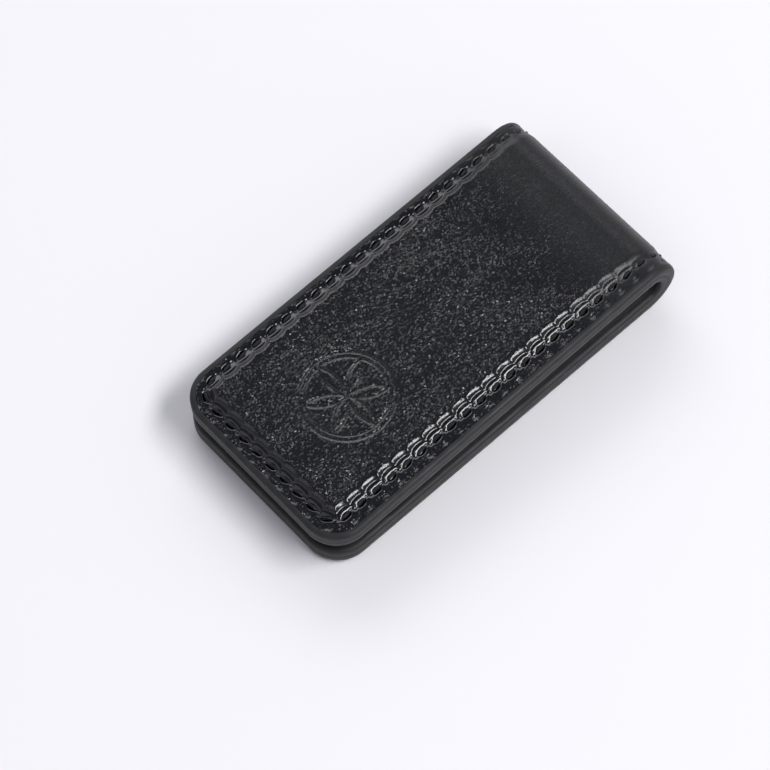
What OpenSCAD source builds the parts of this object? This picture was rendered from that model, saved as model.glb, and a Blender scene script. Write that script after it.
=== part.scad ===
// Leather money clip: a spring-steel U sewn between two layers of leather.
// Frame: X runs along the clip, bend at +X; Y runs across; +Z is up.
// The origin is the centre of the footprint, with the back leg flat on Z = 0.

/* [Strap] */
// Length of a leg, from the axis of the bend to its free end
leg_len = 64; // [50:1:90]
// Width of the strap
strap_w = 35; // [30:1:45]
// Corner radius of each free end
corner_r = 5.5; // [4:0.5:8]

/* [Layers] */
// Thickness of the outer cover leather
cover_t = 1.6; // [1.2:0.1:2]
// Thickness of the inner lining leather
lining_t = 1.5; // [1:0.1:2]
// Thickness of the spring strip
spring_t = 0.4; // [0.3:0.05:0.8]
// Thickness of the filler felt over the spring
filler_t = 0.25; // [0.2:0.05:0.8]
// Thickness of the paint on the cut edges
paint_t = 0.15; // [0.1:0.05:0.3]

/* [Bend] */
// Inside radius of the bend
inner_r = 2; // [1.8:0.1:4]
// Angle that the front leg leans in towards the back leg, in degrees
lean = 1.6; // [0:0.1:2]
// Running gap between the front and back halves at the crown of the bend
crown_gap = 0.2; // [0.2:0.05:0.5]

/* [Raised panel] */
// Flat border from the strap's edge to the foot of the panel's bank
border_w = 4; // [3.8:0.1:6]
// Width of the sloping bank round the panel
bank_w = 1.6; // [0.5:0.1:3]
// Width of the spring and its filler
core_w = 24.6; // [20:0.2:26]
// Corner radius of the spring and its filler
core_corner_r = 3; // [1:0.5:5]

/* [Stitching] */
// Distance from the strap's edge to the seam
seam_inset = 2.65; // [2.4:0.05:2.9]
// Nominal distance from one stitch to the next
stitch_pitch = 3; // [2.6:0.1:4]
// Visible length of one stitch
stitch_len = 2.1; // [1.5:0.1:2.3]
// Diameter of the thread
thread_d = 0.45; // [0.3:0.05:0.5]
// Slant of each stitch to the seam, in degrees
stitch_slant = 10; // [0:1:12]
// Width of the groove that the seam sits in
groove_w = 1.3; // [1.2:0.1:1.4]
// Depth of the groove
groove_d = 0.35; // [0.3:0.05:0.4]

/* [Hidden] */

$fn = 48;
eps = 0.01;

// Radii of the layers, counted outwards from the axis of the bend
lining_r = inner_r + lining_t;
spring_r = lining_r + spring_t;
filler_r = spring_r + filler_t;
flange_r = lining_r + cover_t;
panel_r = filler_r + cover_t;

// Place of the bend's axis in the part's frame
bend_x = (leg_len - panel_r) / 2;
bend_z = panel_r;

// Each half takes half of the bend, and so half of the lean
half_turn = 90 + lean / 2;

// Colours of the finished pieces
cover_colour = [0.07, 0.07, 0.08];
lining_colour = [0.13, 0.12, 0.12];
thread_colour = [0.03, 0.03, 0.035];
paint_colour = [0.1, 0.1, 0.11];
steel_colour = [0.7, 0.71, 0.73];
felt_colour = [0.45, 0.43, 0.4];

// Seam, counted from the crown along the bend, the side, the corner and the end
seam_y = strap_w / 2 - seam_inset;
seam_corner_r = corner_r - seam_inset;
run_bend = flange_r * half_turn * PI / 180;
run_side = leg_len - corner_r;
run_corner = seam_corner_r * PI / 2;
run_end = strap_w - 2 * corner_r;
seam_half = run_bend + run_side + run_corner + run_end / 2;
stitch_count = 2 * round(seam_half / stitch_pitch);
stitch_step = 2 * seam_half / stitch_count;

// Distance from the bend's axis to the middle of each thread
seat_lift = 0.06;
needle_seat_r = flange_r - groove_d + thread_d / 2;
bobbin_seat_r = inner_r + groove_d - thread_d / 2 - seat_lift;
bobbin_len_in_bend = stitch_len * bobbin_seat_r / flange_r;

// ---- Shapes shared by the layers. One half is drawn with its leg flat below the
// ---- bend's axis, along -X, and the front half is its mirror image.

// Outline of the leg from above, drawn in by inset from the strap's edge
module leg_plan(inset, r) {
    half_w = strap_w / 2 - inset;
    end_x = -(leg_len - inset);
    translate([end_x + r, -half_w]) square([-end_x - r, 2 * half_w]);
    translate([end_x, -half_w + r]) square([r + eps, 2 * (half_w - r)]);
    for (side = [-1, 1])
        translate([end_x + r, side * (half_w - r)]) circle(r);
}

// Outline of the spring and its filler from above
module core_plan() {
    leg_plan((strap_w - core_w) / 2, core_corner_r);
}

// A layer of the leg between two radii, with the outline given as the child
module leg_layer(r_in, r_out) {
    translate([0, 0, -r_out]) linear_extrude(r_out - r_in) children();
}

// A layer of the bend: the child is a section with radius as X and width as Y
module bend_layer() {
    rotate([90, 0, 0]) rotate([0, 0, -90]) rotate_extrude(angle = half_turn) children();
}

// A plain rectangular section of the bend, half_w to each side
module band_section(r_in, r_out, half_w) {
    translate([r_in, -half_w]) square([r_out - r_in, 2 * half_w]);
}

// The pair of grooves that the seam sits in, in section
module groove_section(r_in, r_out) {
    for (side = [-1, 1])
        translate([r_in, side * seam_y - groove_w / 2]) square([r_out - r_in, groove_w]);
}

// The groove on the leg, from above
module groove_plan() {
    difference() {
        leg_plan(seam_inset - groove_w / 2, corner_r - seam_inset + groove_w / 2);
        leg_plan(seam_inset + groove_w / 2, corner_r - seam_inset - groove_w / 2);
    }
}

// Cuts half the crown gap away, square to the crown's face
module cut_at_crown() {
    reach = 3 * panel_r;
    difference() {
        children();
        rotate([0, -lean / 2, 0])
            translate([0, -strap_w, -crown_gap / 2]) cube([reach, 2 * strap_w, reach]);
    }
}

// Puts a half in the part's frame, as the back leg or leaning over it as the front leg
module as_back() {
    translate([bend_x, 0, bend_z]) children();
}
module as_front() {
    translate([bend_x, 0, bend_z]) rotate([0, -lean, 0]) mirror([0, 0, 1]) children();
}

// ---- The raised panel over the core

// Section of the panel above the border, with its two banks
module panel_section() {
    foot = strap_w / 2 - border_w;
    top = foot - bank_w;
    polygon([
        [flange_r - eps, -foot], [flange_r, -foot], [panel_r, -top],
        [panel_r, top], [flange_r, foot], [flange_r - eps, foot]
    ]);
}

// The panel along the leg, with the bank at the free end
module leg_panel() {
    foot_x = -(leg_len - border_w);
    top_x = foot_x + bank_w;
    intersection() {
        rotate([90, 0, 0]) rotate([90, 0, -90]) linear_extrude(leg_len) panel_section();
        translate([0, strap_w / 2, 0]) rotate([90, 0, 0]) linear_extrude(strap_w)
            polygon([
                [0, -lining_r], [foot_x, -lining_r], [foot_x, -flange_r],
                [top_x, -panel_r], [0, -panel_r]
            ]);
    }
}

// ---- The layers of one half

module cover_half() {
    cut_at_crown() {
        difference() {
            union() {
                leg_layer(lining_r, flange_r) leg_plan(paint_t, corner_r - paint_t);
                leg_panel();
            }
            leg_layer(lining_r - eps, filler_r) core_plan();
            leg_layer(flange_r - groove_d, flange_r + eps) groove_plan();
        }
        bend_layer() difference() {
            union() {
                band_section(lining_r, flange_r, strap_w / 2 - paint_t);
                panel_section();
            }
            band_section(lining_r - eps, filler_r, core_w / 2);
            groove_section(flange_r - groove_d, flange_r + eps);
        }
    }
}

module filler_half() {
    cut_at_crown() {
        leg_layer(spring_r, filler_r) core_plan();
        bend_layer() band_section(spring_r, filler_r, core_w / 2);
    }
}

module spring_half() {
    cut_at_crown() {
        leg_layer(lining_r, spring_r) core_plan();
        bend_layer() band_section(lining_r, spring_r, core_w / 2);
    }
}

module lining_half() {
    cut_at_crown() {
        difference() {
            leg_layer(inner_r, lining_r) leg_plan(paint_t, corner_r - paint_t);
            leg_layer(inner_r - eps, inner_r + groove_d) groove_plan();
        }
        bend_layer() difference() {
            band_section(inner_r, lining_r, strap_w / 2 - paint_t);
            groove_section(inner_r - eps, inner_r + groove_d);
        }
    }
}

module edge_paint_half() {
    cut_at_crown() {
        leg_layer(inner_r, flange_r) difference() {
            leg_plan(0, corner_r);
            leg_plan(paint_t, corner_r - paint_t);
        }
        bend_layer() for (side = [-1, 1])
            translate([inner_r, side * (strap_w - paint_t) / 2 - paint_t / 2])
                square([flange_r - inner_r, paint_t]);
    }
}

// ---- Stitches

// Puts the child on the seam at a run from the crown, on one side of the strap
module on_seam(run, side) {
    past_bend = run - run_bend;
    past_side = past_bend - run_side;
    past_corner = past_side - run_corner;
    corner_x = -run_side;
    corner_y = strap_w / 2 - corner_r;
    mirror([0, side < 0 ? 1 : 0, 0])
        if (past_bend < 0)
            rotate([0, past_bend / flange_r * 180 / PI, 0]) translate([0, seam_y, 0])
                children();
        else if (past_side < 0)
            translate([-past_bend, seam_y, 0]) children();
        else if (past_corner < 0)
            translate([corner_x, corner_y, 0]) rotate([0, 0, past_side / seam_corner_r * 180 / PI])
                translate([0, seam_corner_r, 0]) children();
        else
            translate([-(leg_len - seam_inset), corner_y - past_corner, 0]) rotate([0, 0, 90])
                children();
}

// One stitch of thread, its middle at a radius from the bend's axis
module stitch(seat_r, length, slant) {
    translate([0, 0, -seat_r]) rotate([0, 0, slant]) rotate([0, 90, 0])
        cylinder(d = thread_d, h = length, center = true, $fn = 16);
}

// All the stitches of one half, shorter round the bend where len_in_bend says so
module stitch_row(seat_r, len_in_bend) {
    for (side = [-1, 1])
        for (i = [0 : stitch_count / 2 - 1]) {
            run = (i + 0.5) * stitch_step;
            on_seam(run, side)
                stitch(seat_r, run < run_bend ? len_in_bend : stitch_len, side * stitch_slant);
        }
}

// ---- Sub-parts

module back_cover() { color(cover_colour) as_back() cover_half(); }
module back_filler() { color(felt_colour) as_back() filler_half(); }
module back_spring_arm() { color(steel_colour) as_back() spring_half(); }
module back_lining() { color(lining_colour) as_back() lining_half(); }
module back_needle_stitches() {
    color(thread_colour) as_back() stitch_row(needle_seat_r, stitch_len);
}
module back_bobbin_stitches() {
    color(thread_colour) as_back() stitch_row(bobbin_seat_r, bobbin_len_in_bend);
}
module back_edge_paint() { color(paint_colour) as_back() edge_paint_half(); }

module front_cover() { color(cover_colour) as_front() cover_half(); }
module front_filler() { color(felt_colour) as_front() filler_half(); }
module front_spring_arm() { color(steel_colour) as_front() spring_half(); }
module front_lining() { color(lining_colour) as_front() lining_half(); }
module front_needle_stitches() {
    color(thread_colour) as_front() stitch_row(needle_seat_r, stitch_len);
}
module front_bobbin_stitches() {
    color(thread_colour) as_front() stitch_row(bobbin_seat_r, bobbin_len_in_bend);
}
module front_edge_paint() { color(paint_colour) as_front() edge_paint_half(); }

back_cover();
back_filler();
back_spring_arm();
back_lining();
back_needle_stitches();
back_bobbin_stitches();
back_edge_paint();
front_cover();
front_filler();
front_spring_arm();
front_lining();
front_needle_stitches();
front_bobbin_stitches();
front_edge_paint();
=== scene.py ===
import math

import bpy
import numpy as np
from mathutils import Matrix, Vector


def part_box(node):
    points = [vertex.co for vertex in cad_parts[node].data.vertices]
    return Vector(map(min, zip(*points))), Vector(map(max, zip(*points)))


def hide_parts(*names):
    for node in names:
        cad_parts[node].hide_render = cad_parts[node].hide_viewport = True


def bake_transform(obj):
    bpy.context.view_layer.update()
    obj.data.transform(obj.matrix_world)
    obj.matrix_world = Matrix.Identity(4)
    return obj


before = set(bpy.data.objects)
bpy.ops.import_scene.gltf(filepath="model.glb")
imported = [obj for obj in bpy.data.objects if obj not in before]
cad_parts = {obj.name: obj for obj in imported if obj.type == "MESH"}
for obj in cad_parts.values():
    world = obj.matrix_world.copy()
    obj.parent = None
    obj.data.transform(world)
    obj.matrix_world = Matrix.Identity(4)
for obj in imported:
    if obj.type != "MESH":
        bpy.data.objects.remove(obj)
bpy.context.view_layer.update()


# ---- Cover leather
# The outer skin is one strip of black calf leather, moulded wet over the core so that a panel
# stands up in its middle, then glued to the lining and sewn all round. Every stitch pulls the
# foot of the panel into a small arch and leaves a needle hole at each of its ends.
mm = 0.001
inner_r = 2.0 * mm                               # inside of the bend, to the lining
lining_t = 1.5 * mm
cover_t = 1.6 * mm
flange_r = inner_r + lining_t + cover_t          # outside of the sewn border
core_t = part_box("back_edge_paint")[0].z          # the panel stands this far above the border
panel_r = flange_r + core_t
axis_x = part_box("back_cover")[1].x - panel_r     # the bend's axis runs along Y
axis_z = panel_r
leg_len = axis_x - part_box("back_edge_paint")[0].x
half_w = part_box("back_edge_paint")[1].y
corner_r = 5.5 * mm
lean = math.radians(1.6)                         # the front leg leans in towards the back leg
bend_run = flange_r * (math.pi / 2 + lean / 2)   # half of the bend, along the border's face
half_run = bend_run + leg_len

draw_in = 0.012                                  # share of its width the strap loses at the crown
seam_inset = 2.65 * mm                           # from the outline to the seam
seam_drift = 0.45 * mm                           # the core sits this far off the middle
seam_corner_r = corner_r - seam_inset
seam_half = half_run - corner_r + seam_corner_r * math.pi / 2 + half_w - corner_r
stitch_pitch = 3.0 * mm                          # before it is fitted to the seam's length
stitch_count = round(seam_half / stitch_pitch)   # from the crown to the middle of a free end
stitch_step = seam_half / stitch_count


def wrap(s, y, h):
    """Folds a flat point into the U. s runs along the strap from the crown, y runs across it
    and h is the height above the border's outer face."""
    s, y, h = np.broadcast_arrays(s, y, h)
    crown = lean / 2
    y = y * (1 - draw_in * np.cos(np.clip(s / half_run, -1, 1) * math.pi / 2) ** 2)
    on_bend = np.clip(s, -bend_run, bend_run)
    phi = crown + on_bend / flange_r
    along = s - on_bend
    x = axis_x + (flange_r + h) * np.cos(phi) - along * np.sin(phi)
    z = axis_z + (flange_r + h) * np.sin(phi) + along * np.cos(phi)
    return np.stack([x, y, z], axis=-1)


def half_width(s, inset=0.0):
    """Half of the strap's width at s, with its rounded corners, drawn in by inset."""
    radius = corner_r - inset
    past = np.clip(np.abs(s) - (half_run - corner_r), 0, radius)
    return half_w - corner_r + np.sqrt(radius ** 2 - past ** 2)


def edge_distance(s, y):
    """Distance in from the strap's outline."""
    u = np.abs(s) - (half_run - corner_r)
    v = np.abs(y) - (half_w - corner_r)
    outside = np.hypot(np.maximum(u, 0), np.maximum(v, 0))
    return corner_r - np.where((u > 0) & (v > 0), outside, np.maximum(u, v))


def seam_place(s, y):
    """Distance in from the seam, and the run along it from the crown."""
    to_corner = half_run - corner_r
    u = np.abs(s) - to_corner
    v = np.abs(y - seam_drift) - (half_w - corner_r)
    corner = (u > 0) & (v > 0)
    at_end = ~corner & (u > v)
    into = corner_r - np.where(corner, np.hypot(u, v), np.maximum(u, v)) - seam_inset
    turn = np.arctan2(np.maximum(u, 0), np.maximum(v, 1e-9))
    past_corner = to_corner + seam_corner_r * math.pi / 2
    run = np.where(at_end, past_corner - v, np.abs(s))
    run = np.where(corner, to_corner + seam_corner_r * turn, run)
    return into, run


def step(x, low, high):
    """Eases from 0 at low to 1 at high."""
    t = np.clip((x - low) / (high - low), 0, 1)
    return t * t * (3 - 2 * t)


def ease(x, low, high):
    """Like step, with a longer straight run in its middle."""
    return 0.5 * np.clip((x - low) / (high - low), 0, 1) + 0.5 * step(x, low, high)


def lip(x, low, high):
    """Starts steeply at low and rounds over to 1 at high."""
    t = np.clip((x - low) / (high - low), 0, 1)
    return t * (2 - t)


def bump(x, width):
    """A rounded rise of height 1 and about the given half width."""
    return np.exp(-((x / width) ** 2))


def ripple(x, seed):
    """A smooth wandering value, about -1 to 1 along x and the same at every run."""
    rng = np.random.default_rng(seed)
    total = np.zeros_like(x)
    for k in range(4):
        total += np.sin(x * (1.7 ** k) * rng.uniform(0.8, 1.2) + rng.uniform(0, 6.28)) / (k + 1)
    return total / 2


edge_round = 0.85 * mm                           # width of the sanded edge on each face
edge_drop = 0.42 * mm                            # and how far it falls


def edge_fall(d):
    """How far the face falls towards the rounded edge, at a distance in from it."""
    t = np.clip(1 - d / edge_round, 0, 1)
    return edge_drop * (1 - np.sqrt(np.clip(1 - t ** 2, 0, 1)))


# A hexafoil, six arcs in a double ring, pressed blind into the panel near the front leg's end
motif_r = 6.4 * mm
motif_ring_gap = 0.75 * mm
motif_s = half_run - 18 * mm
motif_y = -0.6 * mm
motif_line = 0.24 * mm
motif_depth = 0.17 * mm


def motif(s, y):
    """Depth of the pressed ornament, from 0 to 1."""
    px, py = s - motif_s, y - motif_y
    radius = np.hypot(px, py)
    lines = bump(radius - motif_r, motif_line)
    lines = np.maximum(lines, bump(radius - motif_r - motif_ring_gap, motif_line))
    for k in range(6):
        turn = math.radians(60 * k + 30)
        arc = np.hypot(px - motif_r * math.cos(turn), py - motif_r * math.sin(turn)) - motif_r
        lines = np.maximum(lines, bump(arc, motif_line) * (radius < motif_r))
    return lines


# The panel's foot, as a distance in from the seam: it arches in along each stitch
foot_low = 0.88 * mm                             # where two stitches meet
foot_arch = 0.55 * mm                            # further in than that, at a stitch's middle
crest_h = 0.15 * mm                              # the roll of leather between stitch and foot
crest_w = 0.32 * mm

slot_half_len = 0.98 * mm                        # the dark slot that a stitch lies in
slot_half_w = 0.43 * mm
slot_off = 0.1 * mm                              # it is cut a little outside the seam
slot_depth = 0.5 * mm
slot_rag = 0.22                                  # how ragged its rim is
slant = math.radians(8)                          # stitches lie at a small angle to the seam
hole_depth = 0.24 * mm                           # the needle holes, at both ends of a stitch
hole_half_len = 0.6 * mm
hole_half_w = 0.15 * mm
pull_depth = 0.06 * mm                           # the seam as a whole pulls the leather down
pull_w = 0.8 * mm

mark_depth = 0.17 * mm                           # slanted marks of the sewing foot's teeth
mark_off = 1.45 * mm                             # out from the seam
mark_share = 0.15                                # of a stitch that they lie ahead of its middle
mark_lean_long = 0.95                            # their lean, as parts along and across
mark_lean_side = 0.3
mark_half_len = 0.5 * mm
mark_half_w = 0.28 * mm

waver_h = 0.010 * mm                             # the panel's moulded face wavers by this much


def cover_height(s, y):
    """Height of the cover's outer face above the plain border. tau runs from -0.5 to 0.5 along
    each stitch, hand mirrors what slants from side to side, and calm falls round the bend,
    where the leather is drawn tight."""
    into, run = seam_place(s, y)
    phase = run / stitch_step
    number = np.floor(phase)
    tau = phase - number - 0.5
    hand = np.sign(y - seam_drift) * np.sign(s)
    uneven = np.sin(number * 2.4 + hand * 1.1 + np.sign(s) * 0.7)
    on_bend = step(bend_run + 7 * mm - np.abs(s), 0, 9 * mm)
    calm = 1 - 0.6 * on_bend

    # The foot rises in three lifts: a faint one by the seam, a steep lip, and a round shoulder
    arch = np.sqrt(np.clip(1 - (1.92 * (tau + 0.04 * uneven)) ** 2, 0, 1))
    foot = foot_low + (foot_arch + 0.05 * mm * uneven) * arch * calm
    rise = 0.14 * ease(into, 0.25 * mm, foot - 0.1 * mm)
    rise += 0.54 * lip(into, foot - 0.28 * mm, foot + 0.2 * mm)
    rise += 0.32 * ease(into, foot + 0.06 * mm, foot + 0.55 * mm)
    h = core_t * (1 - 0.65 * on_bend) * rise
    crest = (foot + 0.05 * mm) / 2
    h += (crest_h + 0.02 * mm * uneven) * calm * arch * bump(into - crest, crest_w)

    along = tau * stitch_step
    across = into - along * math.tan(slant) * hand
    narrow = 0.3 + 0.7 * calm
    slot = 1 - (along / slot_half_len) ** 2 - ((across + slot_off) / (slot_half_w * narrow)) ** 2
    rag = np.sin(along / (0.21 * mm) + number * 1.9)
    rag = rag * np.sin(across / (0.17 * mm) + number)
    h -= slot_depth * narrow * step(slot + slot_rag * rag, 0, 0.85)
    to_hole = (np.abs(tau) - 0.5) * stitch_step
    h -= hole_depth * bump(across, hole_half_w) * bump(to_hole, hole_half_len) * calm
    h -= pull_depth * bump(into, pull_w)

    mark_s = (tau - mark_share * hand) * stitch_step
    mark_y = into + mark_off
    mark_along = mark_s * mark_lean_long + mark_y * mark_lean_side * hand
    mark_across = mark_y * mark_lean_long - mark_s * mark_lean_side * hand
    mark = np.hypot(mark_along / mark_half_len, mark_across / mark_half_w)
    h -= (mark_depth + 0.03 * mm * uneven) * bump(mark, 1)
    h -= motif_depth * motif(s, y)
    waver = 1 + ripple(s / (7 * mm) + y / (9 * mm), 3)
    h -= waver_h * waver * step(into, 1 * mm, 5 * mm)
    h -= edge_fall(edge_distance(s, y))
    return h


drawn_run = 20 * mm                              # the bend draws the grain smooth this far out


def grain_share(s, y):
    """How much of the grain shows. The leather is drawn smooth by the seam and round the bend,
    and it is worn smoother in patches."""
    into = seam_place(s, y)[0]
    off_bend = 0.1 + 0.9 * step(np.abs(s), bend_run - 1 * mm, bend_run + drawn_run)
    panel = step(into, 1.3 * mm, 2.6 * mm)
    border = 0.7 * step(-into, 0.6 * mm, 1.0 * mm)
    patch = ripple(s / (3.6 * mm) + 1.3 * np.sin(y / (2 * mm)), 5)
    patch += ripple(y / (1.5 * mm) + 1.1 * np.sin(s / (6 * mm)), 6)
    return np.maximum(panel, border) * off_bend * np.clip(0.92 + 0.24 * patch, 0.5, 1.3) + 0.1


def run_lines(fine, coarse):
    """Places along the strap, fine on the front leg and coarser on the back leg, and closer
    together where a corner turns."""
    to_corner = half_run - corner_r
    turns = np.linspace(0, math.pi / 2, round(corner_r * 1.6 / fine))[1:]
    front = np.linspace(-bend_run, to_corner, round((to_corner + bend_run) / fine))
    back = np.linspace(-to_corner, -bend_run, round((to_corner - bend_run) / coarse))[:-1]
    turns_back = np.linspace(0, math.pi / 2, round(corner_r * 1.6 / coarse))[1:]
    ends = to_corner + corner_r * np.sin(turns)
    ends_back = -(to_corner + corner_r * np.sin(turns_back))[::-1]
    return np.concatenate([ends_back, back, front, ends])


def new_mesh(name, points, faces, place):
    """A smooth mesh whose faces are turned outwards. Its flat place on the strap and its share
    of the grain are kept on its points for the materials."""
    mesh = bpy.data.meshes.new(name)
    mesh.from_pydata([tuple(p) for p in points], [], faces)
    mesh.validate()
    piece = bpy.data.objects.new(name, mesh)
    bpy.context.scene.collection.objects.link(piece)
    strap = mesh.attributes.new("strap", "FLOAT_VECTOR", "POINT")
    strap.data.foreach_set("vector", np.asarray(place, np.float32).ravel())
    shares = grain_share(place[:, 0], place[:, 1])
    grain = mesh.attributes.new("grain", "FLOAT", "POINT")
    grain.data.foreach_set("value", np.asarray(shares, np.float32))
    mesh.polygons.foreach_set("use_smooth", [True] * len(mesh.polygons))
    bpy.context.view_layer.objects.active = piece
    piece.select_set(True)
    bpy.ops.object.mode_set(mode="EDIT")
    bpy.ops.mesh.select_all(action="SELECT")
    bpy.ops.mesh.normals_make_consistent(inside=False)
    bpy.ops.object.mode_set(mode="OBJECT")
    piece.select_set(False)
    return piece


def strap_layer(name, s, t, face_h, back_cols, inset):
    """A closed layer of the strap. Its detailed face is a grid over s and t, at the height that
    face_h gives, and its plain back has only the columns in back_cols, each a share of the
    half width and a height for every s."""
    grid_s, grid_t = np.meshgrid(s, t, indexing="ij")
    grid_y = grid_t * half_width(grid_s, inset)
    reach = half_run - inset
    grid_s = np.clip(grid_s, -reach, reach)
    grid_h = face_h(grid_s, grid_y)
    rows, cols = grid_s.shape
    back_s = np.repeat(grid_s[:, :1], len(back_cols), axis=1)
    back_t = np.array([c[0] for c in back_cols])
    back_y = back_t[None, :] * half_width(s, inset)[:, None]
    back_h = np.stack([c[1](grid_s[:, 0]) for c in back_cols], axis=1)
    face_points = wrap(grid_s, grid_y, grid_h).reshape(-1, 3)
    back_points = wrap(back_s, back_y, back_h).reshape(-1, 3)
    place = np.concatenate([
        np.stack([grid_s, grid_y, grid_h], axis=-1).reshape(-1, 3),
        np.stack([back_s, back_y, back_h], axis=-1).reshape(-1, 3),
    ])
    face = np.arange(rows * cols).reshape(rows, cols)
    back = rows * cols + np.arange(rows * len(back_cols)).reshape(rows, -1)

    faces = []
    for grid in (face, back):
        around = [grid[:-1, :-1], grid[1:, :-1], grid[1:, 1:], grid[:-1, 1:]]
        faces += np.stack(around, -1).reshape(-1, 4).tolist()
    for edge, rim in ((face[:, 0], back[:, 0]), (face[:, -1], back[:, -1])):
        faces += np.stack([edge[:-1], rim[:-1], rim[1:], edge[1:]], -1).tolist()
    for end in (0, -1):
        faces.append(face[end].tolist() + back[end][::-1].tolist())
    return new_mesh(name, np.concatenate([face_points, back_points]), faces, place)


def level(h):
    """A column of a plain back at one height all along."""
    return lambda s: np.full_like(s, h)


core_half_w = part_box("back_spring_arm")[1].y
core_half_run = bend_run + axis_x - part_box("back_spring_arm")[0].x
# The pocket that the core lies in, as a share of the half width
core_share = (core_half_w + 0.05 * mm) / half_w
pocket_wall = 0.001                              # width of the pocket's wall, as such a share


def pocket(s):
    """The cover's back over the core, where the core holds it up."""
    over_core = step(core_half_run + 0.15 * mm - np.abs(s), 0, 0.1 * mm)
    return -cover_t + core_t * over_core


def fine_shares(fine, coarse, middle):
    """Shares of the half width, fine near both edges and over the middle."""
    border = 7 * mm
    inner = half_w - border
    side = np.linspace(inner, half_w, round(border / fine))
    between = np.linspace(middle, inner, max(2, round((inner - middle) / coarse)))[:-1]
    centre = np.linspace(0, middle, max(2, round(middle / fine)))[:-1]
    positive = np.concatenate([centre, between, side]) / half_w
    return np.concatenate([-positive[:0:-1], positive])


skin = 0.12 * mm                                 # the cut edges stop short of the paint's face
cover = strap_layer(
    "cover",
    run_lines(0.17 * mm, 0.24 * mm),
    fine_shares(0.17 * mm, 0.2 * mm, 7 * mm),
    cover_height,
    [
        (-1, level(-cover_t)),
        (-core_share, level(-cover_t)),
        (-core_share + pocket_wall, pocket),
        (core_share - pocket_wall, pocket),
        (core_share, level(-cover_t)),
        (1, level(-cover_t)),
    ],
    skin,
)


def material(name, **sockets):
    """A new node material, with the values that are the same all over it set on its shader."""
    mat = bpy.data.materials.new(name)
    mat.use_nodes = True
    shader = mat.node_tree.nodes["Principled BSDF"]
    for socket, value in sockets.items():
        shader.inputs[socket.replace("_", " ")].default_value = value
    return mat, mat.node_tree, shader


def node(tree, kind, links=(), inputs=None, **settings):
    """A new node. links are (socket of another node, name or number of the input it feeds), and
    inputs holds the values of inputs that nothing feeds."""
    made = tree.nodes.new(kind)
    for key, value in settings.items():
        setattr(made, key, value)
    for name, value in (inputs or {}).items():
        made.inputs[name].default_value = value
    for source, name in links:
        tree.links.new(source, made.inputs[name])
    return made


def strap_vector(tree, scale):
    """The flat place on the strap, scaled along it, across it and through it."""
    place = node(tree, "ShaderNodeAttribute", attribute_name="strap")
    return node(
        tree, "ShaderNodeMapping", [(place.outputs["Vector"], "Vector")], inputs={"Scale": scale}
    ).outputs["Vector"]


def ramp(tree, source, stops):
    """A colour ramp over the given (place, colour) stops."""
    made = node(tree, "ShaderNodeValToRGB", [(source, "Fac")])
    elements = made.color_ramp.elements
    while len(elements) < len(stops):
        elements.new(0.5)
    for element, (place, colour) in zip(elements, stops):
        element.position = place
        element.color = (*colour, 1)
    return made.outputs["Color"]


def grey(v):
    """A value between 0 and 1 as a colour, for a ramp."""
    return (v, v, v)


def relief(tree, shader, layers):
    """Stacks bumps on a shader's normal. Each layer is a height, its distance and its strength,
    which is a number or a socket."""
    normal = None
    for height, distance, strength in layers:
        links = [(height, "Height")]
        values = {"Distance": distance}
        if normal is not None:
            links.append((normal, "Normal"))
        if isinstance(strength, float):
            values["Strength"] = strength
        else:
            links.append((strength, "Strength"))
        normal = node(tree, "ShaderNodeBump", links, inputs=values).outputs["Normal"]
    tree.links.new(normal, shader.inputs["Normal"])


# How many plates, streaks, creases and patches of dye go to a metre, along the strap, across it
# and through it, and how high the first three stand
plates = (4000, 5600, 5600)
streaks = (900, 3600, 3600)
creases = (140, 900, 900)
dye_patches = (90, 160, 160)
plate_h = 0.175 * mm
streak_h = 0.06 * mm
crease_h = 0.08 * mm


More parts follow.
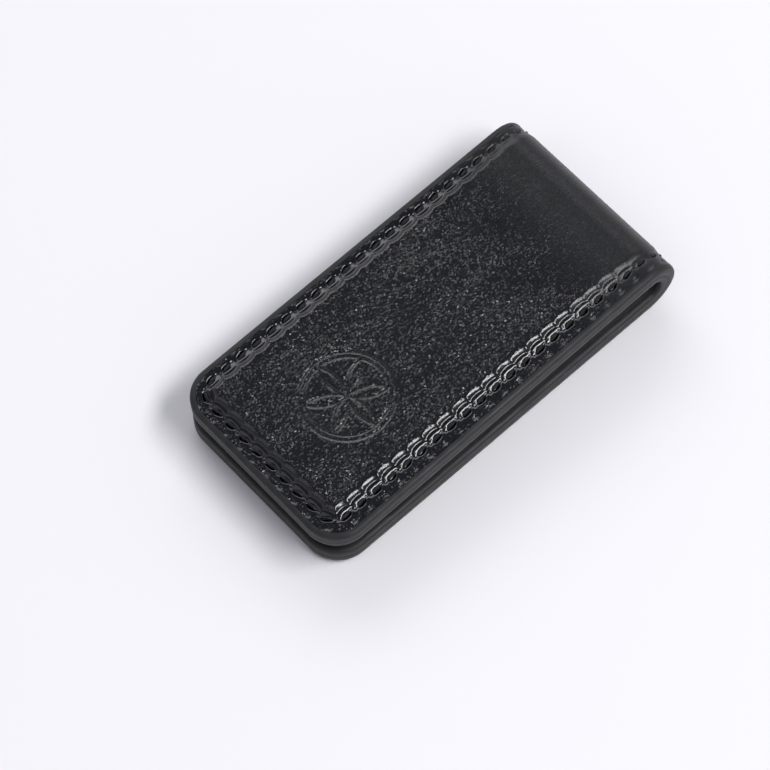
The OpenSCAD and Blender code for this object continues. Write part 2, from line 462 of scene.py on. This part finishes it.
def leather(name, dark, light, rough_low, rough_high, grain):
    """Dyed and waxed leather: small plates of grain that each lean their own way, streaks and
    creases that run along the strap, and a finish that is a little uneven."""
    mat, tree, shader = material(name, IOR=1.5, Coat_Roughness=0.1)
    flat = strap_vector(tree, plates)
    plate = node(
        tree, "ShaderNodeTexVoronoi", [(flat, "Vector")],
        voronoi_dimensions="2D", inputs={"Scale": 1.0, "Randomness": 1.0},
    )
    reach = node(
        tree, "ShaderNodeVectorMath",
        [(flat, 0), (plate.outputs["Position"], 1)], operation="SUBTRACT",
    )
    lean_way = node(
        tree, "ShaderNodeVectorMath", [(plate.outputs["Color"], 0)],
        operation="SUBTRACT", inputs={1: (0.5, 0.5, 0.5)},
    )
    tilted = node(
        tree, "ShaderNodeVectorMath",
        [(reach.outputs["Vector"], 0), (lean_way.outputs["Vector"], 1)], operation="DOT_PRODUCT",
    )
    chance = node(tree, "ShaderNodeSeparateColor", [(plate.outputs["Color"], "Color")])
    few = node(
        tree, "ShaderNodeMath", [(chance.outputs["Blue"], 0)], operation="POWER", inputs={1: 1.2}
    )
    lifted = node(
        tree, "ShaderNodeMath",
        [(tilted.outputs["Value"], 0), (few.outputs["Value"], 1)], operation="MULTIPLY",
    )
    streak = node(
        tree, "ShaderNodeTexNoise",
        [(strap_vector(tree, streaks), "Vector")],
        inputs={"Scale": 1.0, "Detail": 2.0, "Roughness": 0.5, "Distortion": 0.5},
    )
    crease = node(
        tree, "ShaderNodeTexNoise",
        [(strap_vector(tree, creases), "Vector")],
        inputs={"Scale": 1.0, "Detail": 4.0, "Roughness": 0.55, "Distortion": 0.6},
    )
    patch = node(
        tree, "ShaderNodeTexNoise",
        [(strap_vector(tree, dye_patches), "Vector")],
        inputs={"Scale": 1.0, "Detail": 3.0},
    )
    colour = ramp(tree, patch.outputs["Fac"], [(0.3, dark), (0.7, light)])
    tree.links.new(colour, shader.inputs["Base Color"])
    rough = ramp(tree, streak.outputs["Fac"], [(0.3, grey(rough_low)), (0.72, grey(rough_high))])
    place = node(tree, "ShaderNodeAttribute", attribute_name="strap")
    along = node(tree, "ShaderNodeSeparateXYZ", [(place.outputs["Vector"], "Vector")])
    away = node(tree, "ShaderNodeMath", [(along.outputs["X"], 0)], operation="ABSOLUTE")
    drawn = node(
        tree, "ShaderNodeMapRange", [(away.outputs["Value"], "Value")],
        interpolation_type="SMOOTHSTEP",
        inputs={
            "From Min": bend_run, "From Max": bend_run + drawn_run, "To Min": 1.0, "To Max": 0.0,
        },
    ).outputs["Result"]
    satin = node(
        tree, "ShaderNodeMath", [(drawn, 0), (rough, 2)], operation="MULTIPLY_ADD", inputs={1: 0.25}
    )
    tree.links.new(satin.outputs["Value"], shader.inputs["Roughness"])
    waxed = node(
        tree, "ShaderNodeMapRange", [(drawn, "Value")], inputs={"To Min": 0.3, "To Max": 0.0}
    )
    tree.links.new(waxed.outputs["Result"], shader.inputs["Coat Weight"])
    share = node(tree, "ShaderNodeAttribute", attribute_name="grain")
    shown = node(
        tree, "ShaderNodeMath", [(share.outputs["Fac"], 0)], operation="MULTIPLY", inputs={1: grain}
    ).outputs["Value"]
    relief(tree, shader, [
        (crease.outputs["Fac"], crease_h, shown),
        (streak.outputs["Fac"], streak_h, shown),
        (lifted.outputs["Value"], plate_h, shown),
    ])
    return mat


black_calf = leather(
    "black_calf",
    dark=(0.0016, 0.0018, 0.0034),
    light=(0.0032, 0.0036, 0.006),
    rough_low=0.1,
    rough_high=0.17,
    grain=1.0,
)
cover.data.materials.append(black_calf)
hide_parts("back_cover", "front_cover")


def bend_with_legs(piece):
    """Bakes a strip's placement into its points, so that it stands where it was drawn."""
    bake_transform(piece)


bend_with_legs(cover)


# ---- Lining leather
# The inner skin is a strip of thinner black leather of the same outline, glued to the cover's
# border and to the spring. The notes lie against it, and the bobbin thread shows on it.
lining_pull = 0.14 * mm                          # the seam sinks into the lining by this much
lining_hole = 0.25 * mm                          # and a needle hole by this much more


def lining_height(s, y):
    """Height of the lining's face towards the notes, which is the lower side of the layer."""
    into, run = seam_place(s, y)
    phase = run / stitch_step
    tau = phase - np.floor(phase) - 0.5
    to_hole = (np.abs(tau) - 0.5) * stitch_step
    dent = lining_pull * bump(into, 0.5 * mm)
    dent += lining_hole * bump(np.hypot(to_hole, into), 0.3 * mm)
    return dent + edge_fall(edge_distance(s, y)) - lining_t - cover_t


lining = strap_layer(
    "lining",
    run_lines(0.3 * mm, 0.3 * mm),
    fine_shares(0.3 * mm, 1.2 * mm, 0.6 * mm),
    lining_height,
    [(-1, level(-cover_t)), (1, level(-cover_t))],
    skin,
)
black_lining = leather(
    "black_lining",
    dark=(0.010, 0.010, 0.011),
    light=(0.020, 0.019, 0.020),
    rough_low=0.50,
    rough_high=0.68,
    grain=0.6,
)
lining.data.materials.append(black_lining)
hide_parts("back_lining", "front_lining")
bend_with_legs(lining)


# ---- Spring
# A strip of rolled spring steel bent to a U, with round-cornered ends and broken edges. It sits
# between the lining and the filler and gives the clip its grip.
spring_t = core_t - (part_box("back_spring_arm")[0].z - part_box("back_filler")[0].z)
core_corner_r = 3 * mm


def core_strip(name, low, high):
    """A strip of the core between two heights, with round corners and a broken edge."""
    to_corner = core_half_run - core_corner_r
    turns = np.linspace(0, math.pi / 2, 10)[1:]
    ends = to_corner + core_corner_r * np.sin(turns)
    middle = np.linspace(-to_corner, to_corner, 220)
    s = np.concatenate([-ends[::-1], middle, ends])
    past = np.clip(np.abs(s) - to_corner, 0, core_corner_r)
    width = core_half_w - core_corner_r + np.sqrt(core_corner_r ** 2 - past ** 2)
    broken = 0.15 * (high - low)
    loops = [(1.0, low + broken), (1.0, high - broken)]
    t = np.linspace(1, -1, 9) * (1 - broken / core_half_w)
    loops += [(v, high) for v in t]
    loops += [(-1.0, high - broken), (-1.0, low + broken)]
    loops += [(v, low) for v in t[::-1]]
    grid = np.stack([wrap(s, v * width, h) for v, h in loops], axis=1)
    flat = np.stack([np.stack([s, v * width, np.full_like(s, h)], -1) for v, h in loops], axis=1)
    n = len(loops)
    index = np.arange(len(s) * n).reshape(len(s), n)
    nxt = np.roll(index, -1, axis=1)
    faces = np.stack([index[:-1], nxt[:-1], nxt[1:], index[1:]], -1).reshape(-1, 4).tolist()
    faces += [index[0].tolist(), index[-1][::-1].tolist()]
    return new_mesh(name, grid.reshape(-1, 3), faces, flat.reshape(-1, 3))


core_low = -cover_t
spring = core_strip("spring", core_low, core_low + spring_t)
steel, tree, shader = material("spring_steel", Metallic=1.0, IOR=2.5)
rolled = node(
    tree, "ShaderNodeTexNoise",
    [(strap_vector(tree, (60, 9000, 9000)), "Vector")],
    inputs={"Scale": 1.0, "Detail": 2.0},
)
bluing = node(
    tree, "ShaderNodeTexNoise",
    [(strap_vector(tree, (70, 90, 90)), "Vector")],
    inputs={"Scale": 1.0, "Detail": 3.0},
)
tint = ramp(tree, bluing.outputs["Fac"], [(0.3, (0.50, 0.51, 0.54)), (0.75, (0.62, 0.62, 0.61))])
tree.links.new(tint, shader.inputs["Base Color"])
shine = ramp(tree, rolled.outputs["Fac"], [(0.3, grey(0.22)), (0.7, grey(0.4))])
tree.links.new(shine, shader.inputs["Roughness"])
relief(tree, shader, [(rolled.outputs["Fac"], 0.01 * mm, 0.5)])
spring.data.materials.append(steel)
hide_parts("back_spring_arm", "front_spring_arm")
bend_with_legs(spring)


# ---- Filler
# A strip of pressed wool felt as wide as the spring, laid over its outer face so that the
# steel's edges don't show through the cover. Only glue holds it.
filler = core_strip("filler", core_low + spring_t, core_low + core_t)
felt, tree, shader = material("pressed_felt", Specular_IOR_Level=0.2)
fibre = node(
    tree, "ShaderNodeTexNoise",
    [(strap_vector(tree, (2600, 3400, 3400)), "Vector")],
    inputs={"Scale": 1.0, "Detail": 6.0, "Roughness": 0.7, "Distortion": 1.5},
)
wool = ramp(tree, fibre.outputs["Fac"], [(0.3, (0.16, 0.15, 0.13)), (0.7, (0.36, 0.34, 0.30))])
tree.links.new(wool, shader.inputs["Base Color"])
nap = ramp(tree, fibre.outputs["Fac"], [(0.2, grey(0.85)), (0.8, grey(1.0))])
tree.links.new(nap, shader.inputs["Roughness"])
relief(tree, shader, [(fibre.outputs["Fac"], 0.06 * mm, 0.9)])
filler.data.materials.append(felt)
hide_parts("back_filler", "front_filler")
bend_with_legs(filler)


# ---- Edge paint
# The cut edges of both leathers are sanded round together and painted black in several coats.
# The paint is a thin skin over the edge, with a fine line where the two leathers meet.
strap_t = lining_t + cover_t
paint_reach = 0.86 * mm                          # how far the paint laps onto each face
paint_t = 0.02 * mm                              # how far it stands above the face
paint_root = 0.05 * mm                           # how far its back stands inside the leathers
joint_depth = 0.08 * mm                          # the line between the two leathers
joint_half_w = 0.12 * mm


def edge_profile():
    """The painted edge in section: (distance in from the outline, height), from the cover's
    face round to the lining's face."""
    lap = np.linspace(paint_reach, 0, 12)
    top = [(d, -edge_fall(d) + paint_t) for d in lap]
    bottom = [(d, edge_fall(d) - strap_t - paint_t) for d in lap[::-1]]
    joint = -cover_t
    side = [(0.0, joint + 0.35 * mm), (0.0, joint + joint_half_w), (joint_depth, joint)]
    side += [(0.0, joint - joint_half_w), (0.0, joint - 0.35 * mm)]
    return np.array(top + side + bottom)


def outline(run_step):
    """Points once round the strap's outline: (s, y) on it, and the direction inwards."""
    to_corner = half_run - corner_r
    side_n = round(2 * to_corner / run_step)
    end_n = round(2 * (half_w - corner_r) / run_step)
    turn_n = max(8, round(corner_r * math.pi / 2 / run_step))
    points = []
    for k in range(4):
        heading = k * math.pi / 2                 # front end, then the sides in turn
        long_side = k % 2 == 1
        count = side_n if long_side else end_n
        reach = to_corner if long_side else half_w - corner_r
        out = np.array([math.cos(heading), math.sin(heading)])
        left = np.array([-out[1], out[0]])
        away = half_w if long_side else half_run
        for v in np.linspace(-reach, reach, count, endpoint=False):
            points.append((*(out * away + left * v), *(-out)))
        centre = out * (away - corner_r) + left * reach
        for turn in np.linspace(0, math.pi / 2, turn_n, endpoint=False):
            radial = out * math.cos(turn) + left * math.sin(turn)
            points.append((*(centre + corner_r * radial), *(-radial)))
    return np.array(points)


rim = outline(0.5 * mm)
profile = edge_profile()
under = profile.copy()
under[:, 0] = np.maximum(profile[:, 0], joint_depth) + paint_root
under[:, 1] = np.clip(profile[:, 1], -strap_t + 0.1 * mm, -0.1 * mm)
section = np.concatenate([profile, under[::-1]])
rim_s = rim[:, None, 0] + section[None, :, 0] * rim[:, None, 2]
rim_y = rim[:, None, 1] + section[None, :, 0] * rim[:, None, 3]
rim_h = np.broadcast_to(section[None, :, 1], rim_s.shape)
index = np.arange(rim_s.size).reshape(rim_s.shape)
ahead = np.roll(index, -1, axis=0)
beside = np.roll(index, -1, axis=1)
corner = np.roll(ahead, -1, axis=1)
edge_paint = new_mesh(
    "edge_paint",
    wrap(rim_s, rim_y, rim_h).reshape(-1, 3),
    np.stack([index, ahead, corner, beside], -1).reshape(-1, 4).tolist(),
    np.stack([rim_s, rim_y, rim_h], -1).reshape(-1, 3),
)
paint, tree, shader = material("edge_paint", IOR=1.5, Specular_IOR_Level=0.3)
sanded = node(
    tree, "ShaderNodeTexNoise",
    [(strap_vector(tree, (160, 160, 5200)), "Vector")],
    inputs={"Scale": 1.0, "Detail": 4.0, "Roughness": 0.6},
)
pooled = node(
    tree, "ShaderNodeTexNoise",
    [(strap_vector(tree, (450, 450, 900)), "Vector")],
    inputs={"Scale": 1.0, "Detail": 2.0},
)
coat = ramp(tree, pooled.outputs["Fac"], [(0.3, (0.014, 0.014, 0.015)), (0.7, (0.024, 0.024, 0.026))])
tree.links.new(coat, shader.inputs["Base Color"])
satin = ramp(tree, sanded.outputs["Fac"], [(0.3, grey(0.42)), (0.7, grey(0.58))])
tree.links.new(satin, shader.inputs["Roughness"])
relief(tree, shader, [
    (pooled.outputs["Fac"], 0.10 * mm, 0.5),
    (sanded.outputs["Fac"], 0.03 * mm, 0.5),
])
edge_paint.data.materials.append(paint)
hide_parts("back_edge_paint", "front_edge_paint")
bend_with_legs(edge_paint)


# ---- Needle thread
# Waxed black polyester, three plies twisted together. On the cover it comes up through one
# needle hole, lies over the leather on a slight slant and goes down through the next.
def seam_point(run, side, into):
    """(s, y) on the seam at a run from the crown, moved in from the seam by into. side is the
    sign of y, and run is negative on the back leg."""
    to_corner = half_run - corner_r
    sign = np.where(run < 0, -1.0, 1.0)
    past = np.abs(run) - to_corner
    turn = np.clip(past / seam_corner_r, 0, math.pi / 2)
    past_corner = np.clip(past - seam_corner_r * math.pi / 2, 0, None)
    radius = seam_corner_r - into
    u = np.minimum(np.abs(run), to_corner) + radius * np.sin(turn)
    v = half_w - corner_r + radius * np.cos(turn) - past_corner
    return sign * u, side * v + seam_drift


plies = 3
ply_lay = 0.8 * mm                               # run along the thread that turns it by a radian


def stitches(name, thread_r, top_h, end_h, reach, offset, squeeze):
    """Every stitch of one face of the seam, each a short length of twisted thread. It lies at
    top_h and offset in from the seam, dives to end_h, and covers the share reach of its pitch.
    squeeze is the bend's radius at this face over the border's, so that the thread keeps its
    width there."""
    sections = 17
    around = 12
    u = np.linspace(-1, 1, sections)
    theta = np.linspace(0, 2 * math.pi, around, endpoint=False)
    rng = np.random.default_rng(11)
    points = []
    faces = []
    place = []
    for leg in (-1, 1):
        for side in (-1, 1):
            for k in range(stitch_count):
                mid = (k + 0.5) * stitch_step
                in_bend = mid < bend_run
                half_len = reach * stitch_step / 2
                lie = (slant + math.radians(rng.uniform(-2, 2))) * side * leg
                wander = rng.uniform(-0.03, 0.03) * mm + offset
                run = mid + u * half_len
                into = u * half_len * math.tan(lie) + wander
                s, y = seam_point(leg * run, side, into)
                h = top_h - (top_h - end_h) * np.abs(u) ** 4
                fat = thread_r * (1.0 - 0.3 * np.abs(u) ** 3)
                shrink = squeeze if in_bend else 1.0
                twist = u * half_len / ply_lay + rng.uniform(0, 6)
                lobes = 1 + 0.2 * np.cos(plies * (theta[None, :] + twist[:, None]))
                radius = fat[:, None] * lobes
                away = radius * np.cos(theta)[None, :]
                up = radius * np.sin(theta)[None, :] * 0.82
                ahead_s, ahead_y = seam_point(leg * (run + 0.01 * mm), side, into)
                ds = ahead_s - s
                dy = ahead_y - y
                norm = np.hypot(ds, dy)
                across_s = -dy / norm
                across_y = ds / norm
                ring_s = s[:, None] + away * across_s[:, None] / shrink
                ring_y = y[:, None] + away * across_y[:, None]
                ring_h = h[:, None] + up
                base = len(points) * sections * around
                points.append(wrap(ring_s, ring_y, ring_h).reshape(-1, 3))
                ring_run = np.broadcast_to(run[:, None], away.shape)
                place.append(np.stack([ring_run, away, up], -1).reshape(-1, 3))
                grid = base + np.arange(sections * around).reshape(sections, around)
                nxt = np.roll(grid, -1, axis=1)
                wall = [grid[:-1], nxt[:-1], nxt[1:], grid[1:]]
                faces += np.stack(wall, -1).reshape(-1, 4).tolist()
                faces += [grid[0].tolist(), grid[-1][::-1].tolist()]
    return new_mesh(name, np.concatenate(points), faces, np.concatenate(place))


thread_mat, tree, shader = material("waxed_thread", IOR=1.45, Specular_IOR_Level=0.3)
ply = node(
    tree, "ShaderNodeTexWave",
    [(strap_vector(tree, (2600, 2600, 5200)), "Vector")],
    bands_direction="DIAGONAL", inputs={"Scale": 1.0, "Distortion": 2.0, "Detail": 2.0},
)
fuzz = node(
    tree, "ShaderNodeTexNoise",
    [(strap_vector(tree, (9000, 9000, 9000)), "Vector")],
    inputs={"Scale": 1.0, "Detail": 3.0},
)
dye = ramp(tree, fuzz.outputs["Fac"], [(0.3, (0.006, 0.006, 0.007)), (0.7, (0.014, 0.014, 0.016))])
tree.links.new(dye, shader.inputs["Base Color"])
wax = ramp(tree, fuzz.outputs["Fac"], [(0.3, grey(0.32)), (0.7, grey(0.55))])
tree.links.new(wax, shader.inputs["Roughness"])
relief(tree, shader, [(ply.outputs["Fac"], 0.03 * mm, 0.6), (fuzz.outputs["Fac"], 0.02 * mm, 0.6)])

needle_thread = stitches(
    "needle_thread",
    thread_r=0.24 * mm,
    top_h=-0.06 * mm,
    end_h=-0.5 * mm,
    reach=0.66,
    offset=0.1 * mm,
    squeeze=1.0,
)
needle_thread.data.materials.append(thread_mat)
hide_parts("back_needle_stitches", "front_needle_stitches")
bend_with_legs(needle_thread)


# ---- Bobbin thread
# The same thread on the lining's side, where it is pulled straight and lies a little deeper.
# Round the inside of the bend its stitches are shorter, because the lining is gathered there.
bobbin_thread = stitches(
    "bobbin_thread",
    thread_r=0.21 * mm,
    top_h=-strap_t + 0.05 * mm,
    end_h=-strap_t + 0.4 * mm,
    reach=0.84,
    offset=0.0,
    squeeze=inner_r / flange_r,
)
bobbin_thread.data.materials.append(thread_mat)
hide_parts("back_bobbin_stitches", "front_bobbin_stitches")
bend_with_legs(bobbin_thread)


# ---- Camera
# A long lens half a metre away, high over the free end's near corner. It is turned a little, so
# that the strap runs up to the right.
def aim(azimuth, elevation, roll, target, distance):
    """The matrix of a camera or lamp that looks at target from the given distance. azimuth is
    taken from +X, elevation from the floor, and roll turns the view about its own axis."""
    a, e, r = (math.radians(v) for v in (azimuth, elevation, roll))
    back = Vector((math.cos(a) * math.cos(e), math.sin(a) * math.cos(e), math.sin(e)))
    right = (-back).cross(Vector((0, 0, 1))).normalized()
    up = right.cross(-back)
    right, up = (
        math.cos(r) * right + math.sin(r) * up,
        -math.sin(r) * right + math.cos(r) * up,
    )
    place = Vector(target) + back * distance
    matrix = Matrix((right, up, back)).transposed().to_4x4()
    matrix.translation = place
    return matrix


camera_target = (-10.35 * mm, -1.4 * mm, axis_z)
camera_distance = 518 * mm
camera = bpy.data.objects.new("camera", bpy.data.cameras.new("camera"))
camera.data.lens = 163.6
camera.data.sensor_width = 36
camera.data.clip_end = 20
camera.matrix_world = aim(-129.75, 63.73, -2.87, camera_target, camera_distance)
bpy.context.scene.collection.objects.link(camera)
bpy.context.scene.camera = camera


# ---- Floor and studio light
# A plain pale sweep in a soft pale room, with three soft lamps: one high on the right, which
# picks out the grain and the sewn border, a wide low one behind the clip, and a weak one that
# faces the free end.
floor_half = 3.0
floor_mesh = bpy.data.meshes.new("floor")
floor_mesh.from_pydata(
    [(-floor_half, -floor_half, 0), (floor_half, -floor_half, 0),
     (floor_half, floor_half, 0), (-floor_half, floor_half, 0)],
    [], [(0, 1, 2, 3)],
)
floor = bpy.data.objects.new("floor", floor_mesh)
bpy.context.scene.collection.objects.link(floor)
pale, tree, shader = material(
    "pale_floor", Base_Color=(0.91, 0.90, 0.93, 1), Roughness=0.9, Specular_IOR_Level=0.1
)
floor.data.materials.append(pale)

world = bpy.data.worlds.new("studio")
bpy.context.scene.world = world
world.use_nodes = True
tree = world.node_tree
room = tree.nodes["Background"]
room.inputs["Strength"].default_value = 1.0
direction = node(tree, "ShaderNodeTexCoord")
height = node(tree, "ShaderNodeSeparateXYZ", [(direction.outputs["Generated"], "Vector")])
sky = ramp(tree, height.outputs["Z"], [
    (0.0, (0.74, 0.74, 0.77)), (0.35, (0.50, 0.50, 0.53)), (0.8, (0.17, 0.175, 0.205)),
])
tree.links.new(sky, room.inputs["Color"])


def softbox(name, azimuth, elevation, distance, width, height, power):
    """A rectangular lamp that faces the clip."""
    lamp = bpy.data.lights.new(name, "AREA")
    lamp.shape = "RECTANGLE"
    lamp.size = width
    lamp.size_y = height
    lamp.energy = power
    piece = bpy.data.objects.new(name, lamp)
    piece.matrix_world = aim(azimuth, elevation, 0, (0, 0, axis_z), distance)
    bpy.context.scene.collection.objects.link(piece)


softbox("key", azimuth=-58, elevation=55, distance=1.4, width=0.95, height=0.33, power=14.0)
softbox("back", azimuth=60, elevation=35, distance=1.6, width=1.6, height=0.7, power=8.4)
softbox("end", azimuth=168, elevation=54, distance=1.5, width=1.0, height=0.8, power=1.5)
bpy.context.scene.view_settings.view_transform = "Standard"
bpy.context.scene.view_settings.look = "None"
